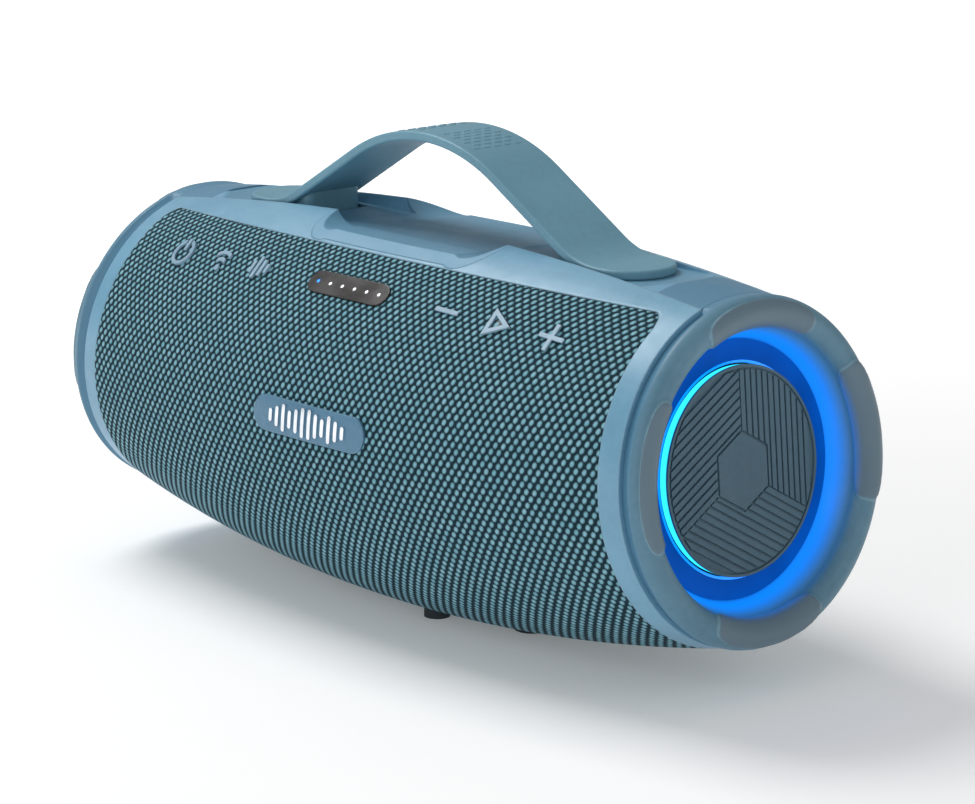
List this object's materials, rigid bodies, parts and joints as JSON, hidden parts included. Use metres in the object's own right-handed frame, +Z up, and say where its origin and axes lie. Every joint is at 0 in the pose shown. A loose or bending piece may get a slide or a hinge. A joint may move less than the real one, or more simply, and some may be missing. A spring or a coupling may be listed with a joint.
{
  "type": "party speaker",
  "caption": "Barrel-shaped portable party speaker with a cloth grille, a moulded strap handle, lit ends with moving radiators, press buttons and a hinged port cover.",
  "frame": {"origin": "on the surface it stands on, under the middle of the barrel", "axes": "+X along the barrel, -Y is the front with the buttons, +Z is up"},
  "size_m": [0.2994, 0.1387, 0.1663],
  "materials": {
    "housing_plastic": "satin",
    "saddle_rubber": "matte",
    "grille_cloth": "woven",
    "inner_plastic": "matte",
    "strap_rubber": "satin",
    "button_rubber": "satin",
    "window_gloss": "gloss",
    "led_white": "gloss",
    "led_blue": "gloss",
    "board_green": "satin",
    "component_black": "matte",
    "light_guide": "gloss",
    "radiator_rubber": "matte",
    "weight_steel": "brushed",
    "magnet": "matte",
    "cone_paper": "matte",
    "cell_wrap": "satin",
    "port_metal": "polished",
    "jack_plastic": "matte",
    "cover_rubber": "matte",
    "badge_base": "satin",
    "badge_chrome": "polished",
    "foot_rubber": "matte"
  },
  "bodies": {
    "root": {"aux_jack": "jack_plastic", "badge_bars": "badge_chrome", "badge_plate": "badge_base", "battery_cells": "cell_wrap", "battery_holder": "inner_plastic", "board_parts": "component_black", "bumper_left": "saddle_rubber", "bumper_right": "saddle_rubber", "button_board": "board_green", "button_switches": "component_black", "driver_baffle": "inner_plastic", "driver_basket_left": "weight_steel", "driver_basket_right": "weight_steel", "driver_magnet_left": "magnet", "driver_magnet_right": "magnet", "driver_screws": "weight_steel", "driver_surround_left": "radiator_rubber", "driver_surround_right": "radiator_rubber", "end_plate_left": "inner_plastic", "end_plate_right": "inner_plastic", "grille_cloth": "grille_cloth", "grille_shell": "inner_plastic", "housing": "housing_plastic", "indicator_leds": "led_white", "indicator_window": "window_gloss", "led_board_left": "board_green", "led_board_right": "board_green", "light_guide_left": "light_guide", "light_guide_right": "light_guide", "main_board": "board_green", "port_hinge_pin": "weight_steel", "port_tray": "inner_plastic", "radiator_frame_left": "inner_plastic", "radiator_frame_right": "inner_plastic", "radiator_surround_left": "radiator_rubber", "radiator_surround_right": "radiator_rubber", "rubber_feet": "foot_rubber", "saddle": "saddle_rubber", "status_led": "led_blue", "strap_anchors": "inner_plastic", "strap_handle": "strap_rubber", "strap_pins": "weight_steel", "usb_a_port": "port_metal", "usb_c_port": "port_metal", "window_carrier": "inner_plastic"},
    "button_power": {"button_power": "button_rubber"},
    "button_wireless": {"button_wireless": "button_rubber"},
    "button_equalizer": {"button_equalizer": "button_rubber"},
    "button_volume_down": {"button_volume_down": "button_rubber"},
    "button_play": {"button_play": "button_rubber"},
    "button_volume_up": {"button_volume_up": "button_rubber"},
    "radiator_right": {"radiator_disc_right": "radiator_rubber", "radiator_weight_right": "weight_steel"},
    "radiator_left": {"radiator_disc_left": "radiator_rubber", "radiator_weight_left": "weight_steel"},
    "cone_right": {"driver_cone_right": "cone_paper", "dust_cap_right": "cone_paper"},
    "cone_left": {"driver_cone_left": "cone_paper", "dust_cap_left": "cone_paper"},
    "port_cover": {"port_cover": "cover_rubber"}
  },
  "joints": [
    {"name": "power_press", "type": "slide", "parent": "root", "child": "button_power", "axis": [0, 0.7034, -0.7108], "range_m": [0, 0.0008], "stiffness_N_per_m": 800},
    {"name": "wireless_press", "type": "slide", "parent": "root", "child": "button_wireless", "axis": [0, 0.7034, -0.7108], "range_m": [0, 0.0008], "stiffness_N_per_m": 800},
    {"name": "equalizer_press", "type": "slide", "parent": "root", "child": "button_equalizer", "axis": [0, 0.7034, -0.7108], "range_m": [0, 0.0008], "stiffness_N_per_m": 800},
    {"name": "volume_down_press", "type": "slide", "parent": "root", "child": "button_volume_down", "axis": [0, 0.7034, -0.7108], "range_m": [0, 0.0008], "stiffness_N_per_m": 800},
    {"name": "play_press", "type": "slide", "parent": "root", "child": "button_play", "axis": [0, 0.7034, -0.7108], "range_m": [0, 0.0008], "stiffness_N_per_m": 800},
    {"name": "volume_up_press", "type": "slide", "parent": "root", "child": "button_volume_up", "axis": [0, 0.7034, -0.7108], "range_m": [0, 0.0008], "stiffness_N_per_m": 800},
    {"name": "radiator_right_stroke", "type": "slide", "parent": "root", "child": "radiator_right", "axis": [0.9959, 0, 0.0903], "range_m": [-0.0025, 0.0025], "stiffness_N_per_m": 1500},
    {"name": "radiator_left_stroke", "type": "slide", "parent": "root", "child": "radiator_left", "axis": [-0.9959, 0, 0.0903], "range_m": [-0.0025, 0.0025], "stiffness_N_per_m": 1500},
    {"name": "cone_right_stroke", "type": "slide", "parent": "root", "child": "cone_right", "axis": [0, -1, 0], "range_m": [-0.002, 0.002], "stiffness_N_per_m": 1800},
    {"name": "cone_left_stroke", "type": "slide", "parent": "root", "child": "cone_left", "axis": [0, -1, 0], "range_m": [-0.002, 0.002], "stiffness_N_per_m": 1800},
    {"name": "port_cover_hinge", "type": "hinge", "parent": "root", "child": "port_cover", "pos_m": [0, 0.0674, 0.0638], "axis": [-1, 0, 0], "range_deg": [0, 100]}
  ],
  "couplings": [
    {"joint": "radiator_left_stroke", "follows": "radiator_right_stroke", "ratio": 1},
    {"joint": "cone_left_stroke", "follows": "cone_right_stroke", "ratio": 1}
  ]
}
